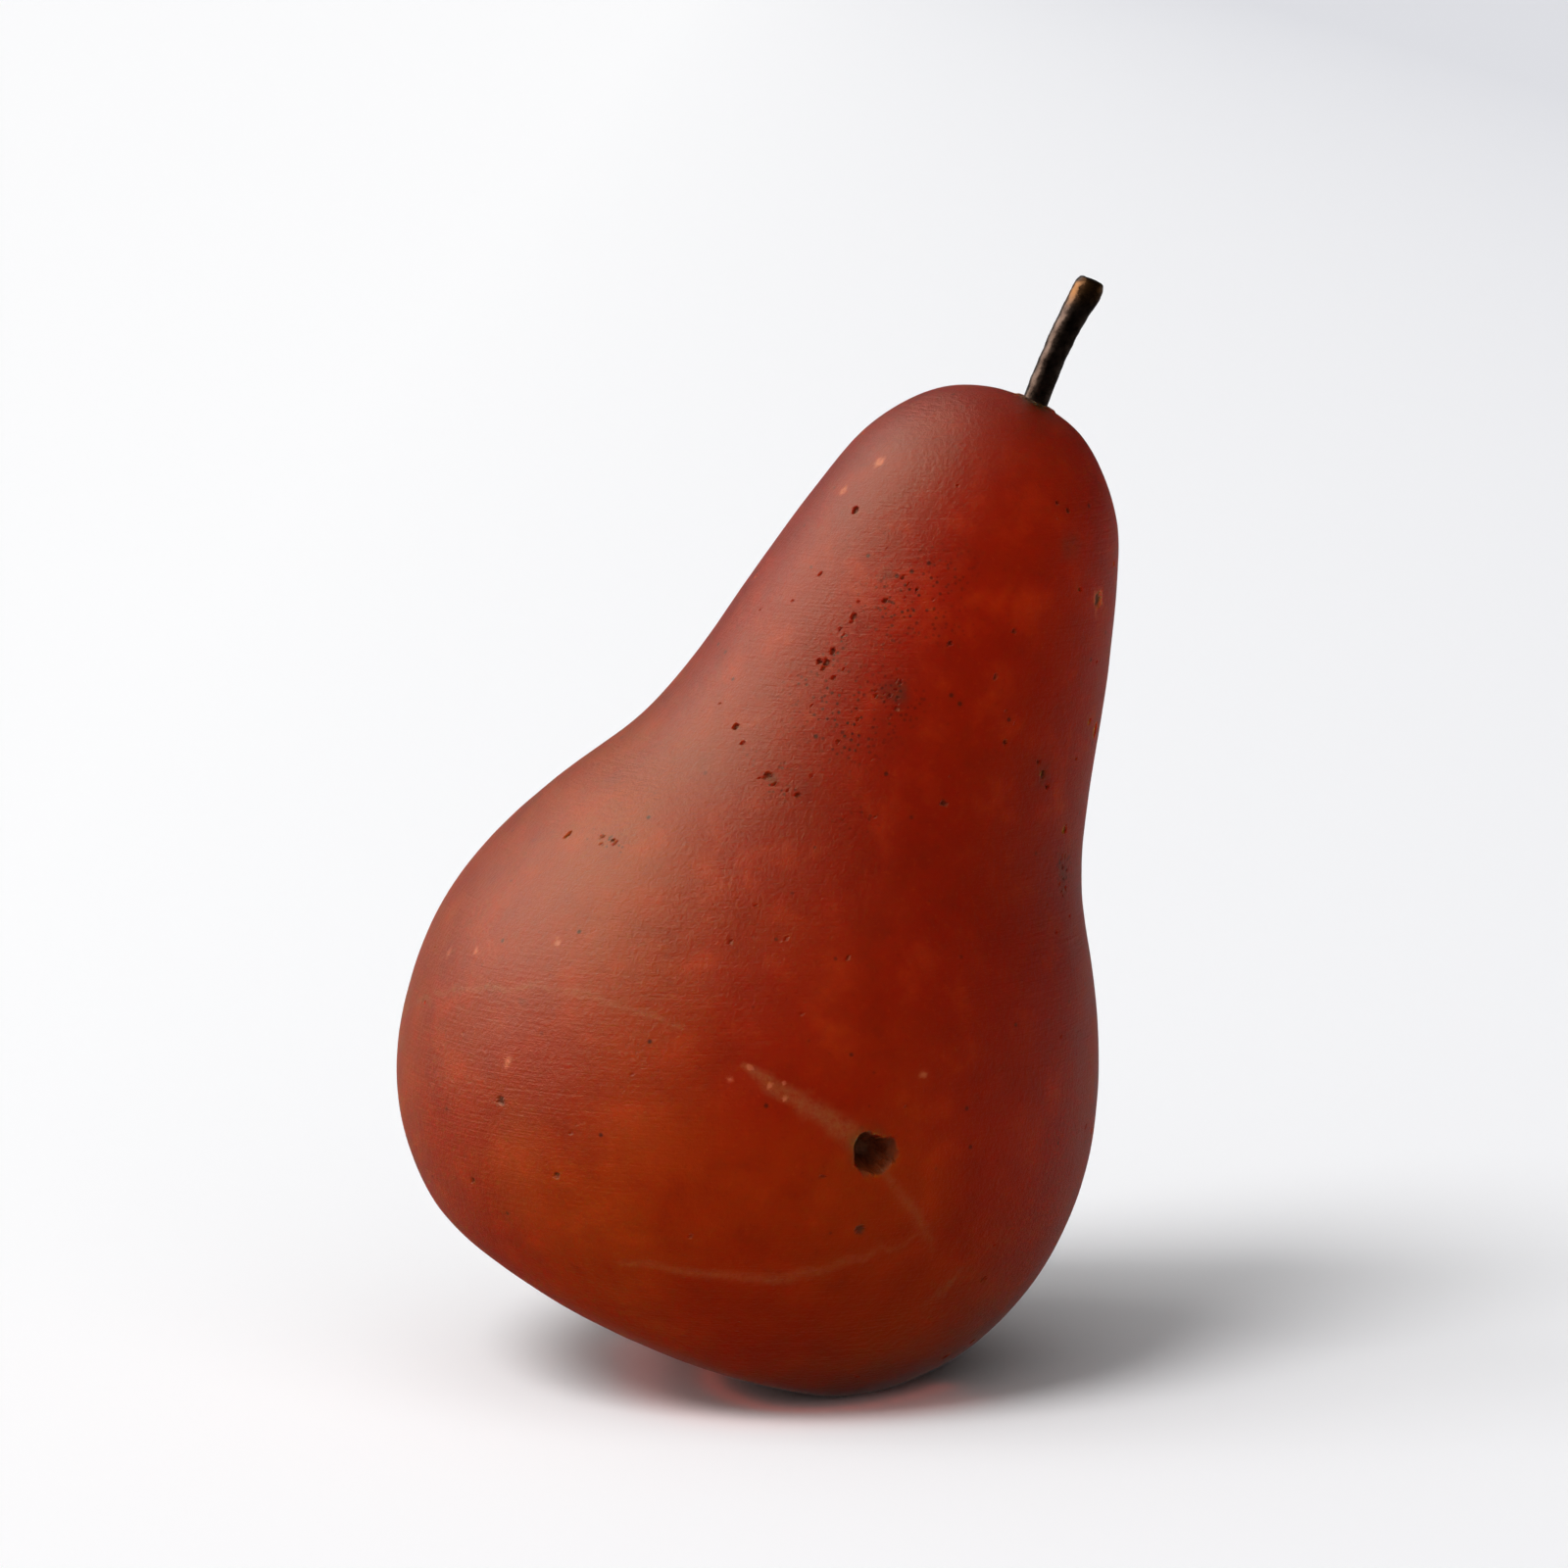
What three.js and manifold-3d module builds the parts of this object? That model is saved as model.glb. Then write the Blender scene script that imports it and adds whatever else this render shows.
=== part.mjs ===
// A life-size ornamental pear: a body ground from one block of translucent red stone, and
// a short bronze stem set in a hole drilled in the top of its neck. The pear leans to +X
// and stands on a small flat spot ground into the edge of its blossom end.
// Millimetres, +Z up. The origin is the middle of the flat spot, on the surface it stands on.
import * as THREE from "three";
import { mergeVertices } from "three/addons/utils/BufferGeometryUtils.js";
import Module from "manifold-3d";

// The body's axis: an arc in the XZ plane, from the blossom end up to the stem end.
const BODY_LENGTH = 97.9; // along the axis
const LEAN_AT_BLOSSOM = THREE.MathUtils.degToRad(24.4); // from the vertical, towards +X
const LEAN_AT_STEM = THREE.MathUtils.degToRad(20.1);
const AXIS_START = { x: -20.1, z: 4.75 }; // the blossom end, over the floor

// The body's outline: its radius at each height up the axis.
const BODY_OUTLINE = [
  [0, 1.0], // a shallow hollow in the blossom end
  [9, 0.4],
  [20.1, 2.3],
  [26.0, 5.6],
  [31.7, 13.5],
  [34.2, 24.5], // the widest part of the belly
  [33.0, 35.5],
  [28.4, 46.5],
  [23.0, 55.5], // the waist
  [20.0, 64.5],
  [18.0, 73.5], // the neck
  [15.4, 83.0],
  [12.4, 90.5],
  [6.7, 96.2],
  [0, BODY_LENGTH],
];
const BODY_RINGS = 56;
const BODY_SIDES = 56;

// The stem's centreline, as x and z.
const STEM_LINE = [
  [15.45, 87.8],
  [16.95, 91.5],
  [18.35, 94.75], // where it leaves the neck
  [19.5, 97.8],
  [20.8, 100.8],
  [22.05, 103.2],
  [23.0, 104.7],
  [23.75, 106.15],
];
// The stem's outline: its radius at each share of its length, flaring towards the cut tip.
const STEM_OUTLINE = [
  [0, 0],
  [1.15, 0],
  [1.27, 0.01],
  [1.27, 0.37],
  [1.27, 0.46],
  [1.27, 0.55],
  [1.28, 0.64],
  [1.29, 0.72],
  [1.33, 0.79],
  [1.4, 0.85],
  [1.47, 0.9],
  [1.49, 0.94],
  [1.45, 0.97],
  [1.3, 0.99],
  [1.0, 1],
  [0, 1],
];
const STEM_SIDES = 20;

// The socket is drilled straight, in line with the stem's lower end.
const SOCKET_RADIUS = 1.59; // leaves a joint of 0.3 all round the stem
const SOCKET_BELOW_STEM = 0.5;
const DRILL_LENGTH = 14; // from the socket's floor up past the surface

const FLOOR_BLOCK = 200; // side of the block that takes off the flat spot

const wasm = await Module();
wasm.setup();

// A surface of revolution about +Y. The outline starts and ends on the axis.
function turned(outline, sides) {
  return new THREE.LatheGeometry(outline.map(([r, h]) => new THREE.Vector2(r, h)), sides);
}

// The same outline, rounded through its points.
function rounded(outline, rings) {
  const curve = new THREE.SplineCurve(outline.map(([r, h]) => new THREE.Vector2(r, h)));
  const points = curve.getPoints(rings).map((p) => [p.x, p.y]);
  points[0][0] = 0;
  points[rings][0] = 0;
  return points;
}

// Carries a shape turned about +Y onto a line in the XZ plane. lineAt(height) gives the
// line's x and z at that height, and its lean from the vertical.
function carriedOnto(lineAt, geometry) {
  const position = geometry.getAttribute("position");
  for (let i = 0; i < position.count; i++) {
    const out = position.getX(i);
    const { x, z, lean } = lineAt(position.getY(i));
    const side = -position.getZ(i);
    position.setXYZ(i, x + out * Math.cos(lean), side, z - out * Math.sin(lean));
  }
  return geometry;
}

function bodyAxisAt(height) {
  const radius = BODY_LENGTH / (LEAN_AT_STEM - LEAN_AT_BLOSSOM);
  const lean = LEAN_AT_BLOSSOM + height / radius;
  return {
    x: AXIS_START.x + radius * (Math.cos(LEAN_AT_BLOSSOM) - Math.cos(lean)),
    z: AXIS_START.z + radius * (Math.sin(lean) - Math.sin(LEAN_AT_BLOSSOM)),
    lean,
  };
}

const stemCurve = new THREE.SplineCurve(STEM_LINE.map(([x, z]) => new THREE.Vector2(x, z)));

function stemLineAt(share) {
  const point = stemCurve.getPointAt(share);
  const along = stemCurve.getTangentAt(share);
  return { x: point.x, z: point.y, lean: Math.atan2(along.x, along.y) };
}

function solidOf(geometry) {
  geometry.deleteAttribute("normal");
  geometry.deleteAttribute("uv");
  const merged = mergeVertices(geometry, 1e-3);
  return new wasm.Manifold(
    new wasm.Mesh({
      numProp: 3,
      vertProperties: merged.getAttribute("position").array,
      triVerts: merged.index.array,
    }),
  );
}

function geometryOf(solid) {
  const mesh = solid.getMesh();
  const geometry = new THREE.BufferGeometry();
  geometry.setAttribute("position", new THREE.BufferAttribute(mesh.vertProperties, 3));
  geometry.setIndex(new THREE.BufferAttribute(mesh.triVerts, 1));
  geometry.computeVertexNormals();
  return geometry;
}

function drill() {
  const { x, z, lean } = stemLineAt(0);
  const cylinder = new THREE.CylinderGeometry(
    SOCKET_RADIUS,
    SOCKET_RADIUS,
    DRILL_LENGTH,
    STEM_SIDES,
  );
  cylinder.translate(0, DRILL_LENGTH / 2 - SOCKET_BELOW_STEM, 0);
  cylinder.rotateX(Math.PI / 2);
  cylinder.rotateY(lean);
  cylinder.translate(x, 0, z);
  return cylinder;
}

function floorBlock() {
  const block = new THREE.BoxGeometry(FLOOR_BLOCK, FLOOR_BLOCK, FLOOR_BLOCK);
  block.translate(0, 0, -FLOOR_BLOCK / 2);
  return block;
}

function bodyGeometry() {
  const turnedBody = turned(rounded(BODY_OUTLINE, BODY_RINGS), BODY_SIDES);
  const whole = solidOf(carriedOnto(bodyAxisAt, turnedBody));
  return geometryOf(whole.subtract(solidOf(floorBlock())).subtract(solidOf(drill())));
}

function stemGeometry() {
  return geometryOf(solidOf(carriedOnto(stemLineAt, turned(STEM_OUTLINE, STEM_SIDES))));
}

const stone = new THREE.MeshStandardMaterial({ color: 0x8a2a12, roughness: 0.6, metalness: 0 });
const bronze = new THREE.MeshStandardMaterial({ color: 0x33241c, roughness: 0.4, metalness: 1 });

const pear = new THREE.Group();

const body = new THREE.Mesh(bodyGeometry(), stone);
body.name = "pear_body";
pear.add(body);

const stem = new THREE.Mesh(stemGeometry(), bronze);
stem.name = "stem";
pear.add(stem);

export default pear;
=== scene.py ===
"""A life-size ornamental pear of translucent red stone, with a short bronze stem.

The pear is ground from one block. It leans, and stands on a small flat spot at the edge of
its blossom end. All sizes are in metres, in the frame of the CAD model: +Z up, the origin in
the middle of the flat spot, and the pear leaning towards +X.
"""

import math
import random

import bpy
import numpy as np
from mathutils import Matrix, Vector, noise
from mathutils.kdtree import KDTree


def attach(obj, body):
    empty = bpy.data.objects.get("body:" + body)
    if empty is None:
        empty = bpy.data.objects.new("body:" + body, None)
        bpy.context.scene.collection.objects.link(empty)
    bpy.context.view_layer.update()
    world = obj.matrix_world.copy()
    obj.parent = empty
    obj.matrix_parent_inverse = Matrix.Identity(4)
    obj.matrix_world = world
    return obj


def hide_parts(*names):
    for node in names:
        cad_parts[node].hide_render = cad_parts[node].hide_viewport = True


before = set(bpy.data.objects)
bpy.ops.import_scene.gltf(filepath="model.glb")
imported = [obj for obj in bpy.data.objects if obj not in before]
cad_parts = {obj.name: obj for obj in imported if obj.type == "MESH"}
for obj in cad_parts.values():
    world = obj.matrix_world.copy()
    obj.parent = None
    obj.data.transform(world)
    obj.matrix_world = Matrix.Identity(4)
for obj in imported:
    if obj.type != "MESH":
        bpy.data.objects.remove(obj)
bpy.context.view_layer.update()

bpy.ops.object.select_all(action="DESELECT")
MM = 0.001


# ---------------------------------------------------------------------------------------------
# The body. One block of orange-red translucent stone, ground to a pear about an axis that is a
# slight arc, then rubbed by hand with grit, so it is matte and nowhere quite true. It is shaped
# here ring by ring from the blossom end up, then subdivided.

BODY_LENGTH = 97.9 * MM  # along the axis
LEAN_AT_BLOSSOM = math.radians(24.4)  # from the vertical, towards +X
LEAN_AT_STEM = math.radians(20.1)
AXIS_START = Vector((-20.1, 0, 4.75)) * MM
BODY_OUTLINE = [  # radius and height up the axis, in mm
    (0, 1.0),
    (9, 0.4),
    (20.1, 2.3),
    (26.0, 5.6),
    (31.7, 13.5),
    (34.2, 24.5),
    (33.0, 35.5),
    (28.4, 46.5),
    (23.0, 55.5),
    (20.0, 64.5),
    (18.0, 73.5),
    (15.4, 83.0),
    (12.4, 90.5),
    (6.7, 96.2),
    (0, 97.9),
]
BODY_SIDES = 48
BODY_RINGS = 42


def rounded(points, steps):
    """Points along the smooth curve that runs through an outline's points."""
    points = [Vector(p) for p in points]
    last = len(points) - 1
    curve = []
    for step in range(steps + 1):
        along = step / steps * last
        i = min(int(along), last - 1)
        t = along - i
        a, b = points[i], points[i + 1]
        out = (b - points[max(i - 1, 0)]) / 2
        into = (points[min(i + 2, last)] - a) / 2
        curve.append(
            a
            + out * t
            + (3 * (b - a) - 2 * out - into) * t**2
            + (2 * (a - b) + out + into) * t**3
        )
    return curve


def axis_at(height):
    """The point on the body's axis at a height, and the axis's lean there."""
    radius = BODY_LENGTH / (LEAN_AT_STEM - LEAN_AT_BLOSSOM)
    lean = LEAN_AT_BLOSSOM + height / radius
    across = radius * (math.cos(LEAN_AT_BLOSSOM) - math.cos(lean))
    up = radius * (math.sin(lean) - math.sin(LEAN_AT_BLOSSOM))
    return AXIS_START + Vector((across, 0, up)), lean


def extrude_ring(centre, onto, radius, to_radius, turn):
    """Extrudes the selected ring to a new centre, then sizes it and turns it to the axis."""
    bpy.ops.mesh.extrude_region_move(TRANSFORM_OT_translate={"value": onto - centre})
    size = to_radius / radius
    bpy.ops.transform.resize(value=(size, size, size), center_override=onto)
    bpy.ops.transform.rotate(value=-turn, orient_axis="Y", center_override=onto)


def use_modifier(piece, kind, **settings):
    """Adds a modifier to a piece and applies it."""
    modifier = piece.modifiers.new(kind.title(), kind)
    for name, value in settings.items():
        setattr(modifier, name, value)
    bpy.context.view_layer.objects.active = piece
    bpy.ops.object.modifier_apply(modifier=modifier.name)


outline = [p * MM for p in rounded(BODY_OUTLINE, BODY_RINGS)][1:-1]
centre, lean = axis_at(outline[0].y)
bpy.ops.mesh.primitive_circle_add(
    vertices=BODY_SIDES,
    radius=outline[0].x,
    fill_type="NGON",
    location=centre,
    rotation=(0, lean, 0),
)
body = bpy.context.object
body.name = "stone_body"
bpy.ops.object.mode_set(mode="EDIT")
for ring, next_ring in zip(outline, outline[1:]):
    onto, next_lean = axis_at(next_ring.y)
    extrude_ring(centre, onto, ring.x, next_ring.x, next_lean - lean)
    centre, lean = onto, next_lean
bpy.ops.mesh.select_all(action="SELECT")
bpy.ops.mesh.normals_make_consistent(inside=False)
bpy.ops.object.mode_set(mode="OBJECT")
bpy.ops.object.transform_apply(location=True, rotation=True, scale=True)
use_modifier(body, "SUBSURF", levels=2, render_levels=2)

# Rubbing by hand left it gently uneven, in broad waves and in small flats.
for noise_size, height in ((26, 0.7), (9, 0.16)):
    waves = bpy.data.textures.new("hand_rubbed", "CLOUDS")
    waves.noise_scale = noise_size * MM
    use_modifier(body, "DISPLACE", texture=waves, texture_coords="LOCAL", strength=height * MM)


def faces_near(piece, places, reach):
    """Selects only the faces of a piece that lie near any of some places."""
    bpy.ops.object.mode_set(mode="EDIT")
    bpy.ops.mesh.select_all(action="DESELECT")
    bpy.ops.object.mode_set(mode="OBJECT")
    centres = np.empty(len(piece.data.polygons) * 3)
    piece.data.polygons.foreach_get("center", centres)
    centres = centres.reshape(-1, 3)
    near = np.zeros(len(centres), dtype=bool)
    for place in places:
        near |= np.linalg.norm(centres - np.array(place), axis=1) < reach
    piece.data.polygons.foreach_set("select", near)


def subdivide_near(piece, places, reach, times):
    """Subdivides a piece's faces near some places, each time a little closer in."""
    bpy.context.tool_settings.mesh_select_mode = (False, False, True)
    for time in range(times):
        faces_near(piece, places, reach * 0.85**time)
        bpy.ops.object.mode_set(mode="EDIT")
        bpy.ops.mesh.subdivide(number_cuts=1)
        bpy.ops.object.mode_set(mode="OBJECT")


def on_skin(height, angle):
    """The point of the body's skin at a height up its axis and an angle round it."""
    start, lean = axis_at(height * MM)
    a = math.radians(angle)
    outwards = Vector((math.cos(a) * math.cos(lean), math.sin(a), -math.cos(a) * math.sin(lean)))
    return body.ray_cast(start, outwards)[1]


# The flat spot it stands on, ground last.
bpy.ops.object.mode_set(mode="EDIT")
bpy.ops.mesh.select_all(action="SELECT")
bpy.ops.mesh.bisect(plane_co=(0, 0, 0), plane_no=(0, 0, 1), use_fill=True, clear_inner=True)
bpy.ops.object.mode_set(mode="OBJECT")

# The socket drilled for the stem, which leans a little more than the body does.
STEM_MOUTH = Vector((18.35, 0, 94.75)) * MM
STEM_FOOT = Vector((15.45, 0, 87.8)) * MM
SOCKET_RADIUS = 1.4 * MM
SOCKET_DEPTH = 7.6 * MM
subdivide_near(body, [STEM_MOUTH], 3.6 * MM, 2)
socket_lean = (STEM_MOUTH - STEM_FOOT).normalized()
bpy.ops.mesh.primitive_cylinder_add(
    vertices=36,
    radius=SOCKET_RADIUS,
    depth=2 * SOCKET_DEPTH,
    location=STEM_MOUTH,
    rotation=socket_lean.to_track_quat("Z", "Y").to_euler(),
)
drill = bpy.context.object
use_modifier(body, "BOOLEAN", object=drill, operation="DIFFERENCE", solver="EXACT")
bpy.data.objects.remove(drill)

# Pits where softer grains have fallen out: height up the axis and angle round it, then width
# round, length along and depth, in mm. Angle 0 faces +X, and -90 the camera.
BIG_PIT = (29.7, -70, 4.1, 3.9, 2.6)
PITS = [
    (70.8, -16, 0.72, 1.44, 0.72),
    (59.8, -134, 0.64, 0.64, 0.32),
    (82.7, -138, 0.64, 0.88, 0.32),
    (44.0, -150, 0.48, 1.44, 0.28),
    (74.8, -87, 0.48, 0.48, 0.24),
    (77.8, -68, 0.56, 0.4, 0.2),
    (67.9, -61, 0.56, 0.48, 0.24),
    (60.9, -74, 0.72, 0.56, 0.28),
    (73.3, -70, 0.4, 0.72, 0.2),
    (83.2, -44, 0.48, 0.48, 0.24),
    (82.7, -31, 1.28, 1.52, 0.24),
    (66.1, -44, 0.64, 0.8, 0.36),
    (65.0, -41, 0.56, 0.48, 0.28),
    (67.0, -47, 0.48, 0.48, 0.24),
    (68.6, -121, 0.64, 0.48, 0.32),
    (57.2, -118, 0.72, 0.56, 0.28),
    (22.7, -67, 1.12, 0.88, 0.2),
    (61.5, -28, 0.64, 0.72, 0.4),
    (19.5, -131, 0.96, 0.72, 0.2),
]
PIT_CLUSTERS = [  # height, angle, spread along and round, in mm, and how many
    (70.4, -118, 3.4, 0.9, 11),
    (68.6, -97, 1.6, 2.4, 10),
    (56.6, -114, 0.7, 2.6, 5),
    (58.0, -27, 3.4, 1.8, 14),
    (90.3, -58, 2.0, 2.4, 9),
    (45.5, -139, 0.5, 2.2, 5),
    (64.5, -106, 5.0, 4.0, 7),
    (77.0, -104, 4.0, 4.0, 6),
    (61.0, 38, 3.6, 3.0, 12),
    (74.0, 96, 4.0, 2.4, 13),
    (48.0, 128, 4.4, 5.0, 15),
    (27.0, 58, 2.6, 4.6, 10),
    (84.0, 152, 2.2, 3.2, 9),
    (36.0, -8, 3.0, 4.4, 9),
    (13.0, 170, 2.4, 3.6, 8),
]
LONE_PITS = 90
chance = random.Random(41)
pits = list(PITS)
for height, angle, along, around, number in PIT_CLUSTERS:
    for _ in range(number):
        size = chance.choice((0.22, 0.26, 0.3, 0.36, 0.5))
        up = height + chance.gauss(0, along / 2)
        turn = angle + math.degrees(chance.gauss(0, around / 2) / 22)
        pits.append((up, turn, size, size * chance.uniform(0.8, 1.5), size * 0.55))
for _ in range(LONE_PITS):
    size = chance.choice((0.22, 0.26, 0.3, 0.38, 0.5))
    up = chance.uniform(6, 94)
    pits.append((up, chance.uniform(-180, 180), size, size * chance.uniform(0.8, 1.6), size * 0.5))

# Healed cracks that show tan or grey: how strongly, then height, angle and width along each.
SEAMS = [
    (1.0, [(32.8, -95, 0.6), (32.4, -90, 1.9), (31.8, -84, 1.9), (31.0, -78, 2.5), (30.2, -73, 2.9)]),
    (0.5, [(28.4, -67, 0.9), (26.6, -61, 1.6), (24.6, -56, 1.3), (22.6, -52, 0.4)]),
    (
        0.7,
        [(19.5, -172, 0.4), (24.1, -157, 0.8), (28.5, -142, 0.7), (32.9, -123, 0.9), (34, -106, 0.5)],
    ),
    (0.55, [(10.8, -101, 0.6), (13.3, -86, 1.2), (15.9, -74, 1.6), (20.2, -64, 0.9), (23.8, -56, 0.5)]),
    (0.5, [(17.0, -47, 0.4), (19.4, -45, 1.3), (22.0, -44, 0.4)]),
    (0.4, [(39.0, 58, 0.4), (43.5, 84, 0.9), (46.0, 110, 0.7), (44.0, 134, 0.4)]),
    (0.5, [(16.0, 20, 0.4), (23.0, 34, 1.3), (29.0, 41, 0.9), (34.0, 40, 0.4)]),
    (0.35, [(72.0, 60, 0.4), (66.0, 74, 0.8), (61.0, 96, 0.4)]),
]
FLECKS = [  # pale grains in the stone: height, angle, width round and length along, in mm
    (23.2, -132, 1.0, 1.6),
    (82.7, -31, 2.2, 2.4),
    (90.8, -76, 1.8, 1.2),
    (87.7, -142, 1.2, 1.5),
    (83.8, -150, 1.0, 1.3),
    (28.5, -158, 0.8, 1.3),
    (30.4, -150, 0.8, 1.1),
    (35.3, -134, 1.0, 0.8),
    (38.0, -66, 1.0, 0.9),
    (31.4, -96, 0.7, 0.6),
    (33.1, -94, 0.9, 0.6),
    (32.3, -90, 0.7, 0.9),
    (33.0, -88, 0.5, 0.5),
    (31.7, -87, 0.5, 0.6),
    (20.8, 66, 1.3, 1.0),
    (52.0, 92, 1.0, 1.6),
    (80.0, 120, 1.4, 1.2),
    (41.0, 161, 1.2, 1.5),
]
STAINS = [  # grey-brown patches, in the same way
    (30.0, -71, 5.6, 5.2),
    (78.5, -114, 1.9, 1.9),
    (66.1, -44, 2.6, 3.0),
    (68.8, -97, 4.2, 2.8),
    (19.5, -131, 1.6, 1.3),
    (28.9, -134, 1.6, 1.0),
    (22.7, -67, 1.5, 1.3),
    (58.0, -27, 3.0, 5.4),
    (57.0, -117, 2.0, 1.2),
    (86.8, -52, 3.4, 3.4),
    (61.0, 38, 3.4, 4.0),
    (74.0, 96, 2.6, 4.4),
    (27.0, 60, 3.6, 2.4),
    (47.0, 130, 4.0, 3.4),
]


def along_seam(seam):
    """Places close together along a seam, each with the seam's half width there."""
    places = []
    for (height, angle, width), (to_height, to_angle, to_width) in zip(seam, seam[1:]):
        apart = (on_skin(to_height, to_angle) - on_skin(height, angle)).length
        steps = math.ceil(apart / (0.3 * MM))
        for step in range(steps):
            t = step / steps
            stray = noise.noise(Vector((height + (to_height - height) * t, angle, 0)) * 0.9)
            place = on_skin(
                height + (to_height - height) * t + 0.8 * stray,
                angle + (to_angle - angle) * t,
            )
            places.append((place, (width + (to_width - width) * t) / 2 * MM))
    return places


pit_places = [on_skin(pit[0], pit[1]) for pit in pits]
big_place = on_skin(BIG_PIT[0], BIG_PIT[1])
fleck_places = [on_skin(fleck[0], fleck[1]) for fleck in FLECKS]
stain_places = [on_skin(stain[0], stain[1]) for stain in STAINS]
seams = [(strength, along_seam(seam)) for strength, seam in SEAMS]
seam_places = [place for _, seam in seams for place, _ in seam]
subdivide_near(body, pit_places + fleck_places, 1.6 * MM, 2)
subdivide_near(body, seam_places[::3], 1.5 * MM, 2)
subdivide_near(body, [big_place], 3.9 * MM, 2)
subdivide_near(body, [big_place], 2.7 * MM, 1)

points = KDTree(len(body.data.vertices))
for i, vertex in enumerate(body.data.vertices):
    points.insert(vertex.co, i)
points.balance()


def within_patch(place, patch, wall, raggedness):
    """The body's points in a ragged oval patch: how far each is inside its edge, by point."""
    height, angle, width, length = patch[:4]
    along = (axis_at((height + 1) * MM)[0] - axis_at(height * MM)[0]).normalized()
    inside = {}
    for point, i, _ in points.find_range(place, 0.75 * max(width, length) * MM):
        offset = point - place
        up = offset.dot(along)
        around = (offset - along * up).length
        ragged = 1 + raggedness * noise.noise(point / (0.35 * width * MM))
        share = math.hypot(up / (length / 2), around / (width / 2)) / MM * ragged
        rise = min(max((1.12 - share) / wall, 0), 1)
        if rise > 0:
            inside[i] = rise * rise * (3 - 2 * rise)
    return inside


PIT_WALL = 0.5  # the slope between a pit's edge and its floor, as a share of its radius
BIG_PIT_WALL = 0.7
PIT_RAGGEDNESS = 0.32
depth_at = {}
for place, pit in zip([big_place] + pit_places, [BIG_PIT] + pits):
    wall = BIG_PIT_WALL if pit is BIG_PIT else PIT_WALL
    for i, inside in within_patch(place, pit, wall, PIT_RAGGEDNESS).items():
        depth_at[i] = max(pit[4] * inside, depth_at.get(i, 0))

# The crumbly floor of the big pit: deep at its lower left, with a shelf of crust at its right.
crust_place = on_skin(29.4, -65.5)
for point, i, _ in points.find_range(big_place, 3 * MM):
    shelf = min(max(1.6 - (point - crust_place).length / (1.5 * MM), 0), 1)
    crumbs = noise.noise(point / (0.5 * MM)) + 0.7 * noise.noise(point / (0.22 * MM))
    depth_at[i] = depth_at.get(i, 0) * (1 - shelf * (0.55 + 0.35 * crumbs))

# How much of each kind of mark every point of the skin has, for the material to read.
FULL_OF_DIRT = 0.35  # the depth in mm from which a hollow is filled with dirt
SOFT_EDGE = 0.15 * MM  # outside a seam's own width
mark_names = ("dirt", "seam", "fleck", "stain", "pricked")
marks = {name: np.zeros(len(body.data.vertices)) for name in mark_names}
for i, depth in depth_at.items():
    marks["dirt"][i] = min(depth / FULL_OF_DIRT, 1)
for name, patches, places in (("fleck", FLECKS, fleck_places), ("stain", STAINS, stain_places)):
    for patch, place in zip(patches, places):
        for i, inside in within_patch(place, patch, 0.8, 0.5).items():
            marks[name][i] = max(inside, marks[name][i])
for height, angle, along, around, _ in PIT_CLUSTERS:
    patch = (height, angle, around * 3 + 1, along * 3 + 1)
    for i, inside in within_patch(on_skin(height, angle), patch, 1.1, 0.9).items():
        marks["pricked"][i] = max(0.85 * inside, marks["pricked"][i])
for strength, seam in seams:
    for place, half_width in seam:
        reach = half_width + SOFT_EDGE
        for _, i, distance in points.find_range(place, reach):
            marks["seam"][i] = max(strength * (1 - distance / reach), marks["seam"][i])

# A ragged ring of dirt and old glue stands a little proud round the socket.
GLUE_REACH = 1.95  # from the socket's axis to the middle of the ring's outer edge, in mm
crumbs_at = {}
for point, i, _ in points.find_range(STEM_MOUTH, 3.4 * MM):
    out = (point - STEM_MOUTH - socket_lean * (point - STEM_MOUTH).dot(socket_lean)).length / MM
    ragged = out + 0.6 * noise.noise(point / (0.8 * MM)) - 0.1
    marks["stain"][i] = max(marks["stain"][i], min(max((GLUE_REACH + 0.15 - ragged) / 0.5, 0), 1))
    crumbs_at[i] = min(max((GLUE_REACH - ragged) / 0.4, 0), 1)

for group_name, weights, height in (
    ("hollows", {i: depth / BIG_PIT[4] for i, depth in depth_at.items()}, -BIG_PIT[4]),
    ("crumbs", crumbs_at, 0.16),
):
    group = body.vertex_groups.new(name=group_name)
    for i, weight in weights.items():
        group.add([i], weight, "REPLACE")
    use_modifier(
        body,
        "DISPLACE",
        vertex_group=group_name,
        strength=height * MM,
        mid_level=0,
    )
for name, values in marks.items():
    attribute = body.data.attributes.new(name, "FLOAT", "POINT")
    attribute.data.foreach_set("value", values)
bpy.ops.object.shade_smooth_by_angle(angle=math.radians(40))


def linear(hex_colour):
    """An sRGB hex colour as the linear colour that a shader takes."""
    values = [int(hex_colour[i : i + 2], 16) / 255 for i in (1, 3, 5)]
    return [v / 12.92 if v <= 0.04045 else ((v + 0.055) / 1.055) ** 2.4 for v in values] + [1]


def add_node(material, kind, settings=(), **links):
    """Adds a node, sets its properties and inputs, and links sockets into its inputs."""
    node = material.node_tree.nodes.new("ShaderNode" + kind)
    for name, value in dict(settings).items():
        if isinstance(name, int) or name in node.inputs:
            node.inputs[name].default_value = value
        else:
            setattr(node, name, value)
    for name, socket in links.items():
        key = int(name[1:]) if name[0] == "_" else name.replace("_", " ")
        material.node_tree.links.new(socket, node.inputs[key])
    return node


def new_material(name):
    material = bpy.data.materials.new(name)
    material.use_nodes = True
    material.node_tree.nodes.clear()
    return material


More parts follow.
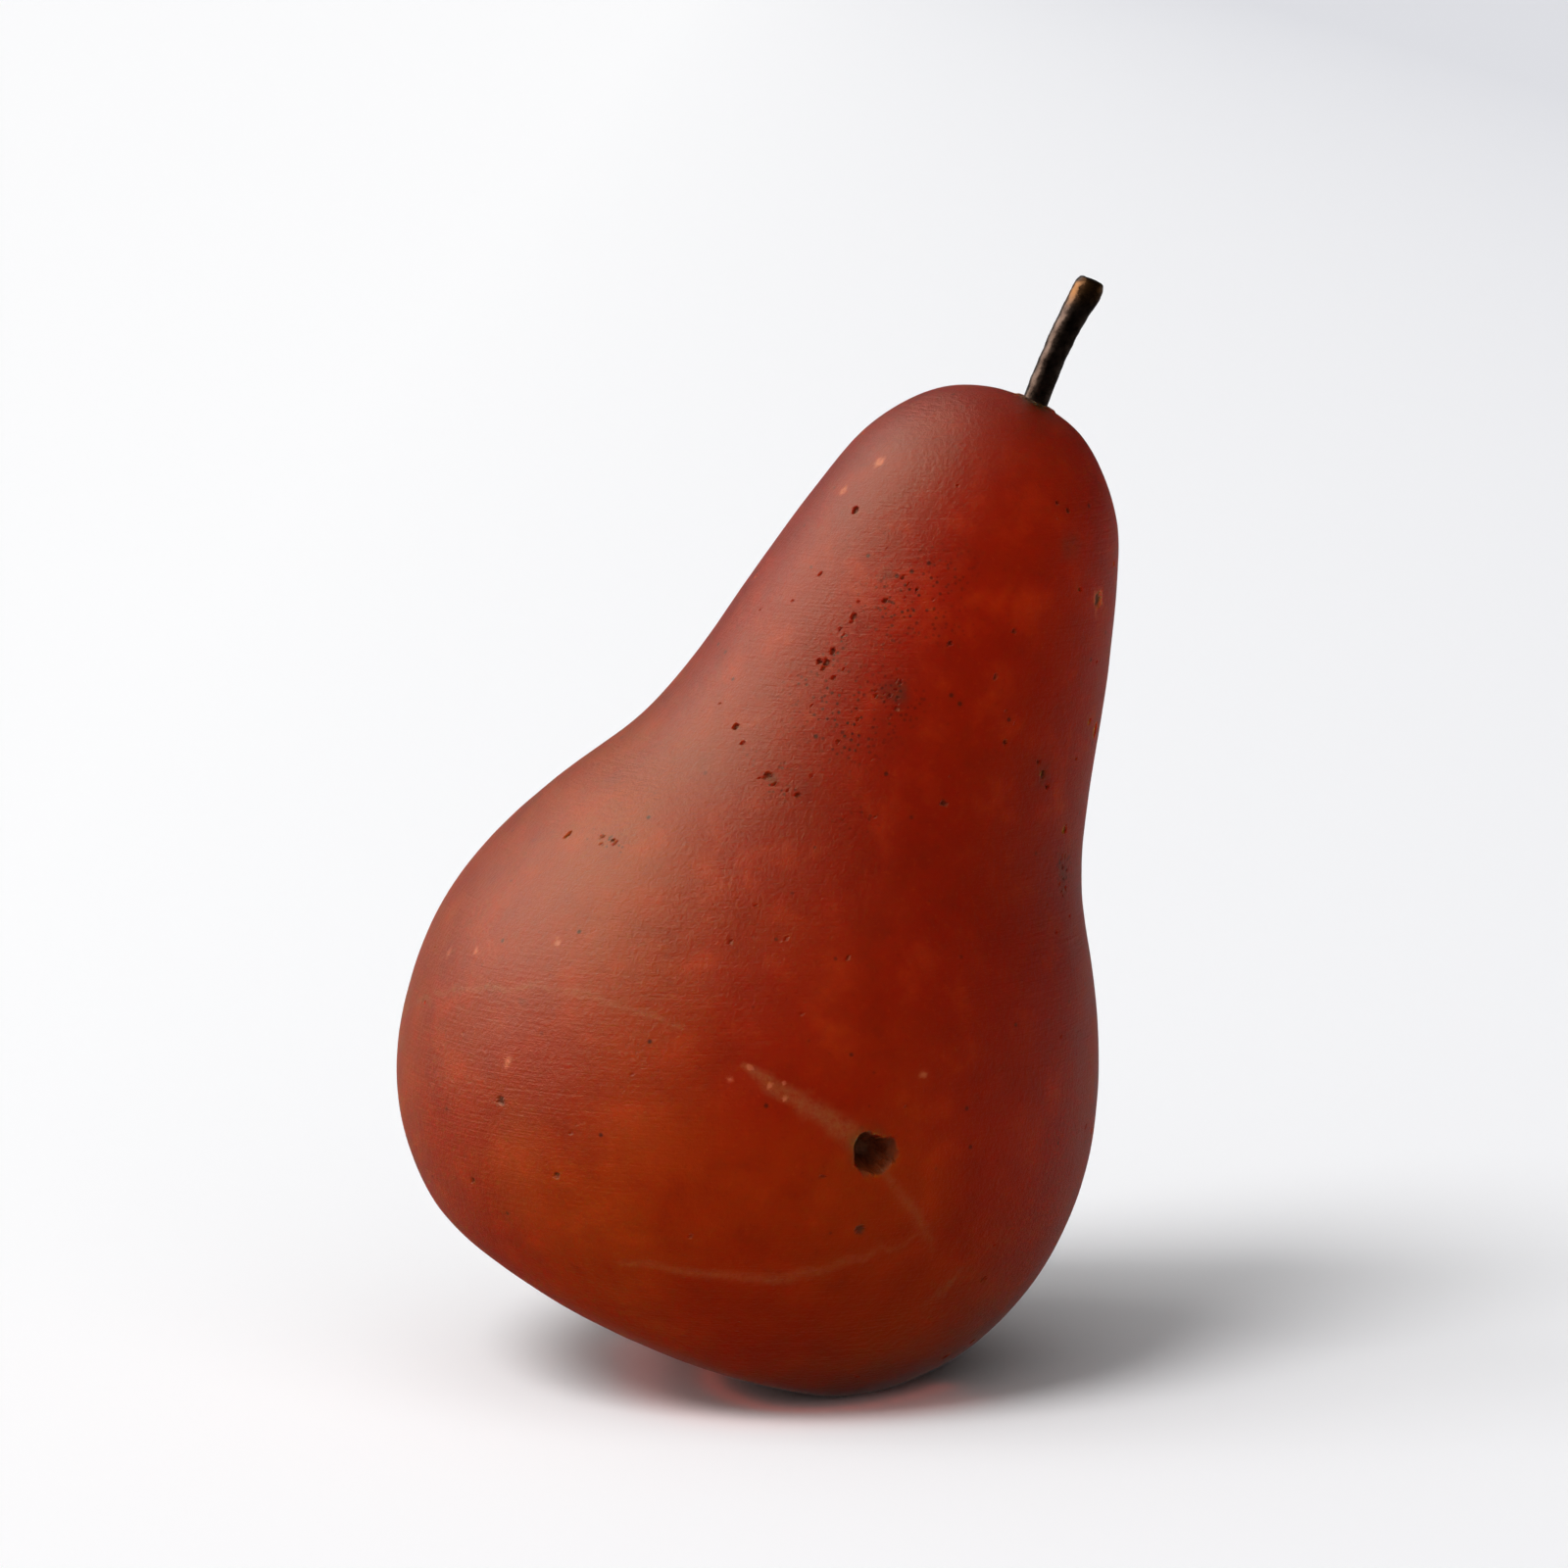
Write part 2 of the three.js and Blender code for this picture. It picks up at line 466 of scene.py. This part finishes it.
# Carnelian, ground with grit and never polished. It is translucent, so light soaks into it and
# it glows orange-red in its thinner parts; its skin is dull, with a broad pinkish sheen where
# the light strikes it; and it is cloudy inside, with paler grains, dark specks and healed cracks.
stone = new_material("ground_carnelian")
coordinates = add_node(stone, "TexCoord").outputs["Object"]
broad = add_node(
    stone,
    "TexNoise",
    {"Scale": 1 / (30 * MM), "Detail": 2.0, "Roughness": 0.55},
    Vector=coordinates,
)
# Painted light: the lower left side, towards the lights, is painted more orange as if lit through, and
# the far side deeper red as painted shade.
toward_lights = add_node(
    stone,
    "VectorMath",
    {"operation": "DOT_PRODUCT", 1: (-0.75, 0, -0.45)},
    _0=coordinates,
)
painted_glow = add_node(
    stone,
    "MapRange",
    {"From Min": -32 * MM, "From Max": -4 * MM, "To Min": -0.2, "To Max": 0.2},
    Value=toward_lights.outputs["Value"],
)
cloud = add_node(
    stone,
    "Math",
    {"operation": "ADD"},
    _0=broad.outputs["Fac"],
    _1=painted_glow.outputs["Result"],
)
tone = add_node(stone, "ValToRGB", Fac=cloud.outputs["Value"])
tone.color_ramp.elements[0].position = 0.25
tone.color_ramp.elements[0].color = linear("#841A02")
tone.color_ramp.elements[1].position = 0.78
tone.color_ramp.elements[1].color = linear("#8E3A04")
middle = tone.color_ramp.elements.new(0.5)
middle.color = linear("#882402")

# Cloudy blotches of paler orange, 3 to 6 mm across, and a grain of 0.5 mm, pale and dark. The
# colour is darker round the foot, painted shade under the belly, and darker towards the crown.
blotches = add_node(
    stone,
    "TexNoise",
    {"Scale": 1 / (4.6 * MM), "Detail": 5.0, "Roughness": 0.62, "Distortion": 0.3},
    Vector=coordinates,
)
grain = add_node(
    stone,
    "TexNoise",
    {"Scale": 1 / (0.55 * MM), "Detail": 4.0, "Roughness": 0.75},
    Vector=coordinates,
)
paler = add_node(
    stone,
    "MapRange",
    {"From Min": 0.52, "From Max": 0.76, "To Min": 0.0, "To Max": 0.32},
    Value=blotches.outputs["Fac"],
)
blotched = add_node(
    stone,
    "Mix",
    {"data_type": "RGBA", 7: linear("#B84C10")},
    _0=paler.outputs["Result"],
    _6=tone.outputs["Color"],
)
darker = add_node(
    stone,
    "MapRange",
    {"From Min": 0.48, "From Max": 0.28, "To Min": 0.0, "To Max": 0.3},
    Value=blotches.outputs["Fac"],
)
clouded = add_node(
    stone,
    "Mix",
    {"data_type": "RGBA", 7: linear("#6A0F02")},
    _0=darker.outputs["Result"],
    _6=blotched.outputs[2],
)
speckled = add_node(
    stone,
    "MapRange",
    {"From Min": 0.58, "From Max": 0.76, "To Min": 0.0, "To Max": 0.3},
    Value=grain.outputs["Fac"],
)
pale_grained = add_node(
    stone,
    "Mix",
    {"data_type": "RGBA", 7: linear("#AC5018")},
    _0=speckled.outputs["Result"],
    _6=clouded.outputs[2],
)
dusky = add_node(
    stone,
    "MapRange",
    {"From Min": 0.42, "From Max": 0.24, "To Min": 0.0, "To Max": 0.35},
    Value=grain.outputs["Fac"],
)
dark_grained = add_node(
    stone,
    "Mix",
    {"data_type": "RGBA", 7: linear("#4A0C02")},
    _0=dusky.outputs["Result"],
    _6=pale_grained.outputs[2],
)
apart = add_node(stone, "SeparateXYZ", Vector=coordinates)
# Painted shade: the colour darkens towards the foot, under the belly.
painted_foot_shade = add_node(
    stone,
    "MapRange",
    {"From Min": 26 * MM, "From Max": 3 * MM, "To Min": 0.0, "To Max": 0.6},
    Value=apart.outputs["Z"],
)
foot_shaded = add_node(
    stone,
    "Mix",
    {"data_type": "RGBA", 7: linear("#5A0802")},
    _0=painted_foot_shade.outputs["Result"],
    _6=dark_grained.outputs[2],
)
# Darker towards the crown.
towards_top = add_node(
    stone,
    "MapRange",
    {"From Min": 78 * MM, "From Max": 95 * MM, "To Min": 0.0, "To Max": 0.6},
    Value=apart.outputs["Z"],
)
dark_crowned = add_node(
    stone,
    "Mix",
    {"data_type": "RGBA", 7: linear("#601603")},
    _0=towards_top.outputs["Result"],
    _6=foot_shaded.outputs[2],
)

# Dark specks about 0.4 mm across, some 3 mm apart.
specks = add_node(stone, "TexVoronoi", {"Scale": 1 / (2.6 * MM)}, Vector=coordinates)
near_speck = add_node(
    stone,
    "MapRange",
    {"From Min": 0.11, "From Max": 0.05, "To Min": 0.0, "To Max": 1.0},
    Value=specks.outputs["Distance"],
)
some = add_node(
    stone,
    "MapRange",
    {"From Min": 0.5, "From Max": 0.6, "To Min": 0.0, "To Max": 0.8},
    Value=specks.outputs["Color"],
)
speck = add_node(
    stone,
    "Math",
    {"operation": "MULTIPLY"},
    _0=near_speck.outputs["Result"],
    _1=some.outputs["Result"],
)
specked_stone = add_node(
    stone,
    "Mix",
    {"data_type": "RGBA", 7: linear("#2E0A05")},
    _0=speck.outputs["Value"],
    _6=dark_crowned.outputs[2],
)

# Round the clusters of pits the skin is pricked all over, with holes 0.3 mm across and 0.55 mm
# apart that are too small to model.
pricks = add_node(stone, "TexVoronoi", {"Scale": 1 / (0.55 * MM)}, Vector=coordinates)
near_prick = add_node(
    stone,
    "MapRange",
    {"From Min": 0.34, "From Max": 0.2, "To Min": 0.0, "To Max": 1.0},
    Value=pricks.outputs["Distance"],
)
pricked_here = add_node(stone, "Attribute", {"attribute_name": "pricked"})
prick = add_node(
    stone,
    "Math",
    {"operation": "MULTIPLY"},
    _0=near_prick.outputs["Result"],
    _1=pricked_here.outputs["Fac"],
)
pricked = add_node(
    stone,
    "Mix",
    {"data_type": "RGBA", 7: linear("#2A0D05")},
    _0=prick.outputs["Value"],
    _6=specked_stone.outputs[2],
)

# The marks laid over it: tan seams, pale flecks, grey-brown stains, and dirt in every hollow.
colour = pricked.outputs[2]
for mark, mark_colour, most, patchiness in (
    ("seam", "#8E5A34", 1.35, 0.85),
    ("fleck", "#BC7A54", 1.1, 0.5),
    ("stain", "#54301F", 0.8, 0.85),
    ("dirt", "#300F06", 1.5, 0.3),
):
    spread = add_node(stone, "Attribute", {"attribute_name": mark})
    held = add_node(
        stone,
        "MapRange",
        {"From Min": 0.0, "From Max": 1 / most, "To Min": 0.0, "To Max": 0.85},
        Value=spread.outputs["Fac"],
    )
    patchy = add_node(
        stone,
        "MapRange",
        {"From Min": 0.3, "From Max": 0.7, "To Min": 1 - patchiness, "To Max": 1.0},
        Value=grain.outputs["Fac"],
    )
    amount = add_node(
        stone,
        "Math",
        {"operation": "MULTIPLY"},
        _0=held.outputs["Result"],
        _1=patchy.outputs["Result"],
    )
    marked = add_node(
        stone,
        "Mix",
        {"data_type": "RGBA", 7: linear(mark_colour)},
        _0=amount.outputs["Value"],
        _6=colour,
    )
    colour = marked.outputs[2]

# Grit scratches across the axis, 0.25 mm apart, over a slightly pebbled skin.
across = add_node(
    stone,
    "Mapping",
    {"Rotation": (0, -LEAN_AT_STEM, 0), "Scale": (1 / (7 * MM), 1 / (7 * MM), 1 / (0.25 * MM))},
    Vector=coordinates,
)
scratches = add_node(
    stone,
    "TexNoise",
    {"Scale": 1.0, "Detail": 3.0, "Roughness": 0.6},
    Vector=across.outputs["Vector"],
)
pebbled = add_node(
    stone,
    "Bump",
    {"Strength": 0.9, "Distance": 0.14 * MM},
    Height=grain.outputs["Fac"],
)
scratched = add_node(
    stone,
    "Bump",
    {"Strength": 0.6, "Distance": 0.09 * MM},
    Height=scratches.outputs["Fac"],
    Normal=pebbled.outputs["Normal"],
)
dullness = add_node(
    stone,
    "MapRange",
    {"From Min": 0.3, "From Max": 0.7, "To Min": 0.3, "To Max": 0.38},
    Value=blotches.outputs["Fac"],
)
# Light soaks into the clean stone, and not into the dirt that fills the hollows.
dirt_here = add_node(stone, "Attribute", {"attribute_name": "dirt"})
clean = add_node(
    stone,
    "MapRange",
    {"From Min": 0.1, "From Max": 0.7, "To Min": 1.0, "To Max": 0.0},
    Value=dirt_here.outputs["Fac"],
)
surface = add_node(
    stone,
    "BsdfPrincipled",
    {
        "Subsurface Radius": (1.0, 0.10, 0.03),
        "Subsurface Scale": 0.08,
        "Subsurface Anisotropy": 0.6,
        "IOR": 1.54,
        "Specular IOR Level": 0.48,
        "Specular Tint": (1, 0.84, 0.52, 1),
    },
    Base_Color=colour,
    Roughness=dullness.outputs["Result"],
    Subsurface_Weight=clean.outputs["Result"],
    Normal=scratched.outputs["Normal"],
)
add_node(stone, "OutputMaterial", Surface=surface.outputs["BSDF"])
body.data.materials.append(stone)

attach(body, "root")
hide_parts("pear_body")

# ---------------------------------------------------------------------------------------------
# The stem. A short bronze casting, slightly curved, that flares to a cut end like a real pear's
# stem. It is patinated nearly black, rubbed brown at the tip, and glued into its socket.

STEM_RINGS = [  # place across and up, then radius, in mm
    (15.45, 87.8, 1.2),
    (16.95, 91.5, 1.25),
    (18.35, 94.75, 1.27),
    (19.5, 97.8, 1.26),
    (20.8, 100.8, 1.28),
    (22.05, 103.2, 1.37),
    (22.95, 104.75, 1.5),
    (23.4, 105.65, 1.47),
    (23.65, 106.2, 1.22),
]
STEM_SIDES = 16
rings = rounded(STEM_RINGS, 26)
centre = Vector((rings[0].x, 0, rings[0].y)) * MM
radius = rings[0].z * MM
lean = socket_lean.angle(Vector((0, 0, 1)))
bpy.ops.object.select_all(action="DESELECT")
bpy.ops.mesh.primitive_circle_add(
    vertices=STEM_SIDES,
    radius=radius,
    fill_type="NGON",
    location=centre,
    rotation=(0, lean, 0),
)
stem = bpy.context.object
stem.name = "bronze_stem"
bpy.ops.object.mode_set(mode="EDIT")
for ring in rings[1:]:
    onto = Vector((ring.x, 0, ring.y)) * MM
    next_lean = math.atan2(onto.x - centre.x, onto.z - centre.z)
    extrude_ring(centre, onto, radius, ring.z * MM, (next_lean - lean) / 2)
    bpy.ops.transform.rotate(value=(lean - next_lean) / 2, orient_axis="Y", center_override=onto)
    centre, radius, lean = onto, ring.z * MM, next_lean
bpy.ops.mesh.inset(thickness=0.3 * MM, depth=0.1 * MM)
bpy.ops.mesh.inset(thickness=0.3 * MM, depth=-0.04 * MM)
bpy.ops.mesh.inset(thickness=0.3 * MM, depth=0.03 * MM)
bpy.ops.mesh.select_all(action="SELECT")
bpy.ops.mesh.normals_make_consistent(inside=False)
bpy.ops.object.mode_set(mode="OBJECT")
bpy.ops.object.transform_apply(location=True, rotation=True, scale=True)
use_modifier(stem, "SUBSURF", levels=2, render_levels=2)
for noise_size, height in ((1.6, 0.16), (0.5, 0.05)):
    casting = bpy.data.textures.new("rough_casting", "CLOUDS")
    casting.noise_scale = noise_size * MM
    use_modifier(stem, "DISPLACE", texture=casting, texture_coords="LOCAL", strength=height * MM)
bpy.ops.object.shade_smooth()

# Bronze with a brown-black chemical patina, waxed: a metal that gives soft dark reflections,
# mottled brown, and shows warmer metal where it has been handled.
bronze = new_material("patinated_bronze")
coordinates = add_node(bronze, "TexCoord").outputs["Object"]
mottle = add_node(
    bronze,
    "TexNoise",
    {"Scale": 1 / (1.1 * MM), "Detail": 4.0, "Roughness": 0.65},
    Vector=coordinates,
)
up = add_node(bronze, "SeparateXYZ", Vector=coordinates)
patina = add_node(
    bronze,
    "MapRange",
    {"From Min": 0.35, "From Max": 0.68, "To Min": 0.0, "To Max": 1.0},
    Value=mottle.outputs["Fac"],
)
mottled = add_node(
    bronze,
    "Mix",
    {"data_type": "RGBA", 6: linear("#382A23"), 7: linear("#6E594D")},
    _0=patina.outputs["Result"],
)
towards_top = add_node(
    bronze,
    "MapRange",
    {"From Min": 103.6 * MM, "From Max": 105.2 * MM, "To Min": 0.0, "To Max": 0.9},
    Value=up.outputs["Z"],
)
uneven = add_node(
    bronze,
    "MapRange",
    {"From Min": 0.3, "From Max": 0.6, "To Min": 0.3, "To Max": 1.0},
    Value=mottle.outputs["Fac"],
)
rubbed = add_node(
    bronze,
    "Math",
    {"operation": "MULTIPLY"},
    _0=towards_top.outputs["Result"],
    _1=uneven.outputs["Result"],
)
rubbed_metal = add_node(
    bronze,
    "Mix",
    {"data_type": "RGBA", 7: linear("#8A5C34")},
    _0=rubbed.outputs["Value"],
    _6=mottled.outputs[2],
)
end_face = add_node(
    bronze,
    "MapRange",
    {"From Min": 105.95 * MM, "From Max": 106.25 * MM, "To Min": 0.0, "To Max": 0.85},
    Value=up.outputs["Z"],
)
metal = add_node(
    bronze,
    "Mix",
    {"data_type": "RGBA", 7: linear("#20140C")},
    _0=end_face.outputs["Result"],
    _6=rubbed_metal.outputs[2],
)
waxed = add_node(
    bronze,
    "MapRange",
    {"From Min": 0.3, "From Max": 0.7, "To Min": 0.2, "To Max": 0.36},
    Value=mottle.outputs["Fac"],
)
skin = add_node(
    bronze,
    "Bump",
    {"Strength": 0.4, "Distance": 0.06 * MM},
    Height=mottle.outputs["Fac"],
)
surface = add_node(
    bronze,
    "BsdfPrincipled",
    {"Metallic": 1.0},
    Base_Color=metal.outputs[2],
    Roughness=waxed.outputs["Result"],
    Normal=skin.outputs["Normal"],
)
add_node(bronze, "OutputMaterial", Surface=surface.outputs["BSDF"])
stem.data.materials.append(bronze)

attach(stem, "root")
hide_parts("stem")


# ---------------------------------------------------------------------------------------------
# The paper it stands on. A wide, flat sheet of smooth white paper, painted a little greyer
# towards the right: painted shade where the light falls off. It stays out of reflections, where
# the surroundings below take its place.

bpy.ops.mesh.primitive_plane_add(size=40, location=(0, 0, 0))
floor = bpy.context.object
floor.name = "floor"
paper = new_material("white_paper")
coordinates = add_node(paper, "TexCoord").outputs["Object"]
sideways = add_node(paper, "SeparateXYZ", Vector=coordinates)
# Painted shade: the paper greys towards the right, as the light falls off.
far = add_node(
    paper,
    "MapRange",
    {"From Min": -0.12, "From Max": 0.5, "To Min": 0.0, "To Max": 1.0},
    Value=sideways.outputs["X"],
)
painted_falloff = add_node(
    paper,
    "Mix",
    {"data_type": "RGBA", 6: linear("#FCFCFD"), 7: linear("#DEDFE4")},
    _0=far.outputs["Result"],
)
matt = add_node(
    paper,
    "BsdfPrincipled",
    {"Roughness": 0.9, "Specular IOR Level": 0.1},
    Base_Color=painted_falloff.outputs[2],
)
add_node(paper, "OutputMaterial", Surface=matt.outputs["BSDF"])
floor.data.materials.append(paper)
floor.visible_glossy = False


# ---------------------------------------------------------------------------------------------
# The surroundings. A dim room with a broad soft light overhead at the left, and the far edge of
# the white table low behind. Rays straight from the camera see plain pale grey instead.

world = bpy.data.worlds.new("studio")
bpy.context.scene.world = world
world.use_nodes = True
world.node_tree.nodes.clear()
where = add_node(world, "TexCoord")
toward = add_node(
    world,
    "VectorMath",
    {"operation": "DOT_PRODUCT", 1: (-0.75, 0.18, 0.64)},
    _0=where.outputs["Generated"],
)
dome = add_node(
    world,
    "MapRange",
    {"From Min": 0.2, "From Max": 0.9, "To Min": 0.03, "To Max": 0.4},
    Value=toward.outputs["Value"],
)
sides = add_node(world, "SeparateXYZ", Vector=where.outputs["Generated"])
level = add_node(
    world,
    "MapRange",
    {"From Min": -1.0, "From Max": 1.0, "To Min": 0.0, "To Max": 1.0},
    Value=sides.outputs["Z"],
)
low = add_node(world, "ValToRGB", Fac=level.outputs["Result"])
low.color_ramp.elements[0].position = 0.2
low.color_ramp.elements[0].color = (0.03, 0.03, 0.03, 1)
low.color_ramp.elements[1].position = 0.51
low.color_ramp.elements[1].color = (0.0, 0.0, 0.0, 1)
horizon = low.color_ramp.elements.new(0.47)
horizon.color = (0.26, 0.26, 0.26, 1)
behind = add_node(
    world,
    "MapRange",
    {"From Min": -0.7, "From Max": 0.1, "To Min": 0.05, "To Max": 1.0},
    Value=sides.outputs["Y"],
)
table = add_node(
    world,
    "Math",
    {"operation": "MULTIPLY"},
    _0=low.outputs["Color"],
    _1=behind.outputs["Result"],
)
both_lights = add_node(
    world,
    "Math",
    {"operation": "MAXIMUM"},
    _0=dome.outputs["Result"],
    _1=table.outputs["Value"],
)
unseen = add_node(world, "Background", {"Strength": 1.0}, Color=both_lights.outputs["Value"])
seen = add_node(world, "Background", {"Color": (0.88, 0.88, 0.89, 1), "Strength": 1.0})
ray = add_node(world, "LightPath")
both = add_node(
    world,
    "MixShader",
    Fac=ray.outputs["Is Camera Ray"],
    _1=unseen.outputs["Background"],
    _2=seen.outputs["Background"],
)
add_node(world, "OutputWorld", Surface=both.outputs["Shader"])


# ---------------------------------------------------------------------------------------------
# The lights, all large and soft: a key light in front at the left, another further round to the
# left, a weak one in front that opens up the shadows, and a tall panel that gives the stone the
# sheen on its left side.


def direction_from(azimuth, elevation):
    """The way to a light, whose azimuth is 0 in front and goes round to the left."""
    a, e = math.radians(azimuth), math.radians(elevation)
    return Vector((-math.sin(a) * math.cos(e), -math.cos(a) * math.cos(e), math.sin(e)))


for light_name, azimuth, elevation, width, energy, shines, reflects in (
    ("key_light", 39, 50, 26, 1.8, True, False),
    ("left_light", 80, 46, 36, 0.6, True, False),
    ("left_sheen", 98, 44, 70, 2.8, False, True),
    ("front_fill", 0, 50, 80, 1.0, True, False),
):
    towards = direction_from(azimuth, elevation)
    bpy.ops.object.light_add(type="SUN", location=towards)
    light = bpy.context.object
    light.name = light_name
    light.rotation_euler = towards.to_track_quat("Z", "Y").to_euler()
    light.data.angle = math.radians(width)
    light.data.energy = energy
    light.visible_diffuse = shines
    light.visible_glossy = reflects

# Light that has come through the stone and falls on the paper: two rows of small red lights under
# the overhang, where the stone is 5 mm and 2 mm above the paper.
GLOW_COLOUR = (1, 0.10, 0.04)
GLOW_DROP = 0.8  # the lights' height, as a share of the stone's there
contact = Vector((4, 0, 0)) * MM
for clearance, spacing, strength in ((5.0, 3.6, 0.17), (2.0, 2.2, 0.34)):
    angle = math.radians(150)
    while angle < math.radians(305):
        outward = Vector((math.cos(angle), math.sin(angle), 0))
        reach = 8 * MM
        under = 0
        while under < clearance * MM:
            reach += 0.5 * MM
            below = contact + outward * reach - Vector((0, 0, MM))
            under = body.ray_cast(below, Vector((0, 0, 1)))[1].z
        place = contact + outward * reach + Vector((0, 0, under * GLOW_DROP))
        bpy.ops.object.light_add(type="SPOT", location=place)
        glow = bpy.context.object
        glow.name = "glow_through_stone"
        glow.data.spot_size = math.radians(170)
        glow.data.spot_blend = 1
        glow.data.shadow_soft_size = 0.5 * MM
        glow.data.color = GLOW_COLOUR
        glow.data.energy = strength * 4 * math.pi * (under * GLOW_DROP) ** 2
        glow.visible_glossy = False
        angle += spacing * MM / reach


# ---------------------------------------------------------------------------------------------
# The camera, a little above the pear's middle and looking slightly down, with a long lens.

CAMERA_ELEVATION = math.radians(8)
CAMERA_DISTANCE = 0.631
aim = Vector((-0.0058, 0, 0.0576))
back = Vector((0, -math.cos(CAMERA_ELEVATION), math.sin(CAMERA_ELEVATION)))
bpy.ops.object.camera_add(location=aim + back * CAMERA_DISTANCE)
camera = bpy.context.object
camera.rotation_euler = back.to_track_quat("Z", "Y").to_euler()
camera.data.lens = 150
camera.data.clip_end = 20
bpy.context.scene.camera = camera
bpy.context.scene.view_settings.view_transform = "Standard"
